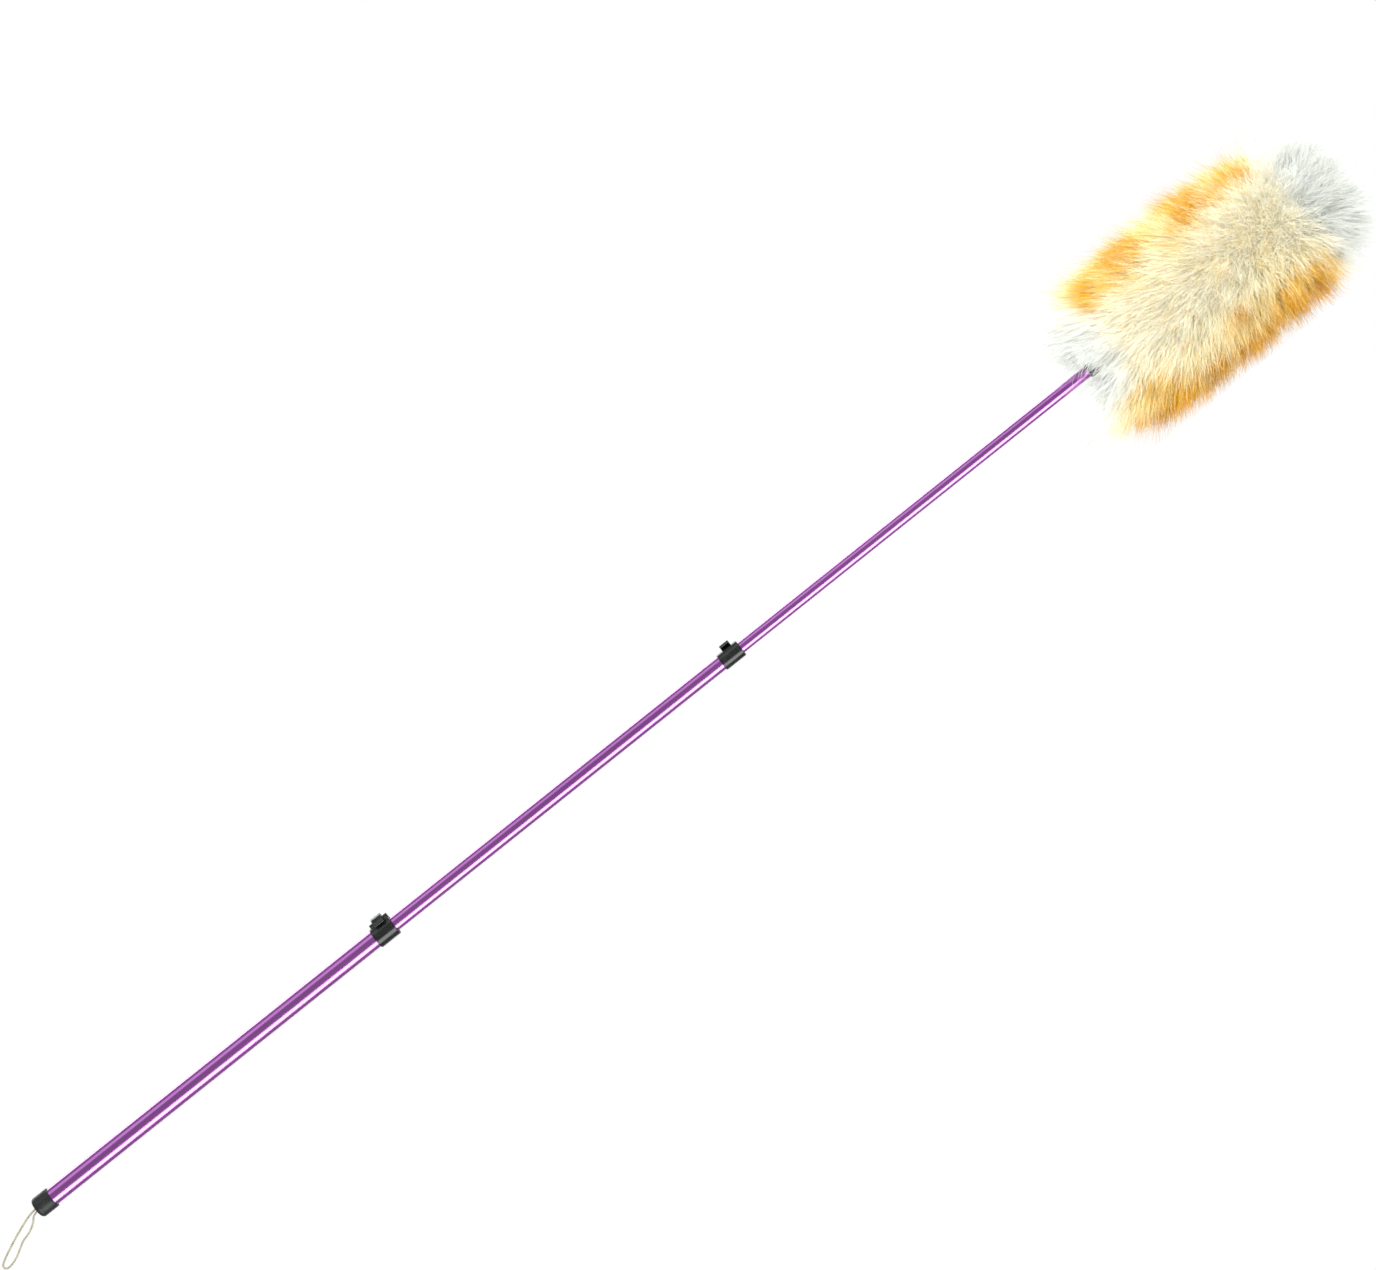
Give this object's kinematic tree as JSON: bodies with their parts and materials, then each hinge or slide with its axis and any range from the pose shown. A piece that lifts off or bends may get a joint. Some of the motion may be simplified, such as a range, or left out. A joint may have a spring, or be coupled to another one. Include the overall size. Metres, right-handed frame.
{
  "type": "wool duster on a telescopic pole",
  "caption": "Long-haired wool duster head on a telescopic purple aluminium pole with black lever locks, rubber end cap and cord hanging loop.",
  "frame": {"origin": "centre of the end cap's end face, where the pole is held or hung", "axes": "+Z along the pole towards the wool head; -X is the side of the lower lock's lever"},
  "size_m": [0.16, 0.16, 1.582],
  "materials": {
    "purple_tube": "satin",
    "lock_plastic": "satin",
    "cap_rubber": "satin",
    "ferrule_plastic": "satin",
    "bush_plastic": "satin",
    "shoe_rubber": "matte",
    "pin_steel": "satin",
    "loop_cord": "matte",
    "core_wood": "matte",
    "hide_leather": "matte",
    "wool": "matte"
  },
  "bodies": {
    "handle": {"end_cap": "cap_rubber", "hang_loop": "loop_cord", "loop_knot": "loop_cord", "lower_tube": "purple_tube", "lower_guide_bush": "bush_plastic", "lower_lock_collar": "lock_plastic", "lower_lock_pin": "pin_steel"},
    "lower_lever": {"lower_lock_lever": "lock_plastic"},
    "lower_shoe": {"lower_lock_shoe": "shoe_rubber"},
    "middle_glide": {"middle_glide_ring": "bush_plastic"},
    "middle_section": {"middle_tube": "purple_tube", "middle_glide_plug": "bush_plastic", "upper_guide_bush": "bush_plastic", "upper_lock_collar": "lock_plastic", "upper_lock_pin": "pin_steel"},
    "upper_lever": {"upper_lock_lever": "lock_plastic"},
    "upper_shoe": {"upper_lock_shoe": "shoe_rubber"},
    "upper_glide": {"upper_glide_ring": "bush_plastic"},
    "head_section": {"upper_tube": "purple_tube", "upper_glide_plug": "bush_plastic", "head_ferrule": "ferrule_plastic", "head_core": "core_wood", "wool_hide": "hide_leather", "wool_pile": "wool"}
  },
  "joints": [
    {"name": "lower_lever_hinge", "type": "hinge", "parent": "handle", "child": "lower_lever", "pos_m": [-0.0112, 0, 0.40815], "axis": [0, 0, -1], "range_deg": [0, 110]},
    {"name": "lower_shoe_slide", "type": "slide", "parent": "handle", "child": "lower_shoe", "axis": [-1, 0, 0], "range_m": [0, 0.0002]},
    {"name": "middle_slide", "type": "slide", "parent": "handle", "child": "middle_glide", "axis": [0, 0, -1], "range_m": [0, 0.368]},
    {"name": "middle_swivel", "type": "hinge", "parent": "middle_glide", "child": "middle_section", "pos_m": [0, 0, 0.383], "axis": [0, 0, 1], "continuous": true},
    {"name": "upper_lever_hinge", "type": "hinge", "parent": "middle_section", "child": "upper_lever", "pos_m": [-0.00556, 0.00795, 0.8124], "axis": [0, 0, -1], "range_deg": [0, 110]},
    {"name": "upper_shoe_slide", "type": "slide", "parent": "middle_section", "child": "upper_shoe", "axis": [-0.5736, 0.8192, 0], "range_m": [0, 0.0002]},
    {"name": "upper_slide", "type": "slide", "parent": "middle_section", "child": "upper_glide", "axis": [0, 0, -1], "range_m": [0, 0.368]},
    {"name": "upper_swivel", "type": "hinge", "parent": "upper_glide", "child": "head_section", "pos_m": [0, 0, 0.788], "axis": [0, 0, 1], "continuous": true}
  ],
  "couplings": [
    {"joint": "lower_shoe_slide", "follows": "lower_lever_hinge", "m_per_rad": 0.00010416},
    {"joint": "upper_shoe_slide", "follows": "upper_lever_hinge", "m_per_rad": 0.00010416}
  ]
}
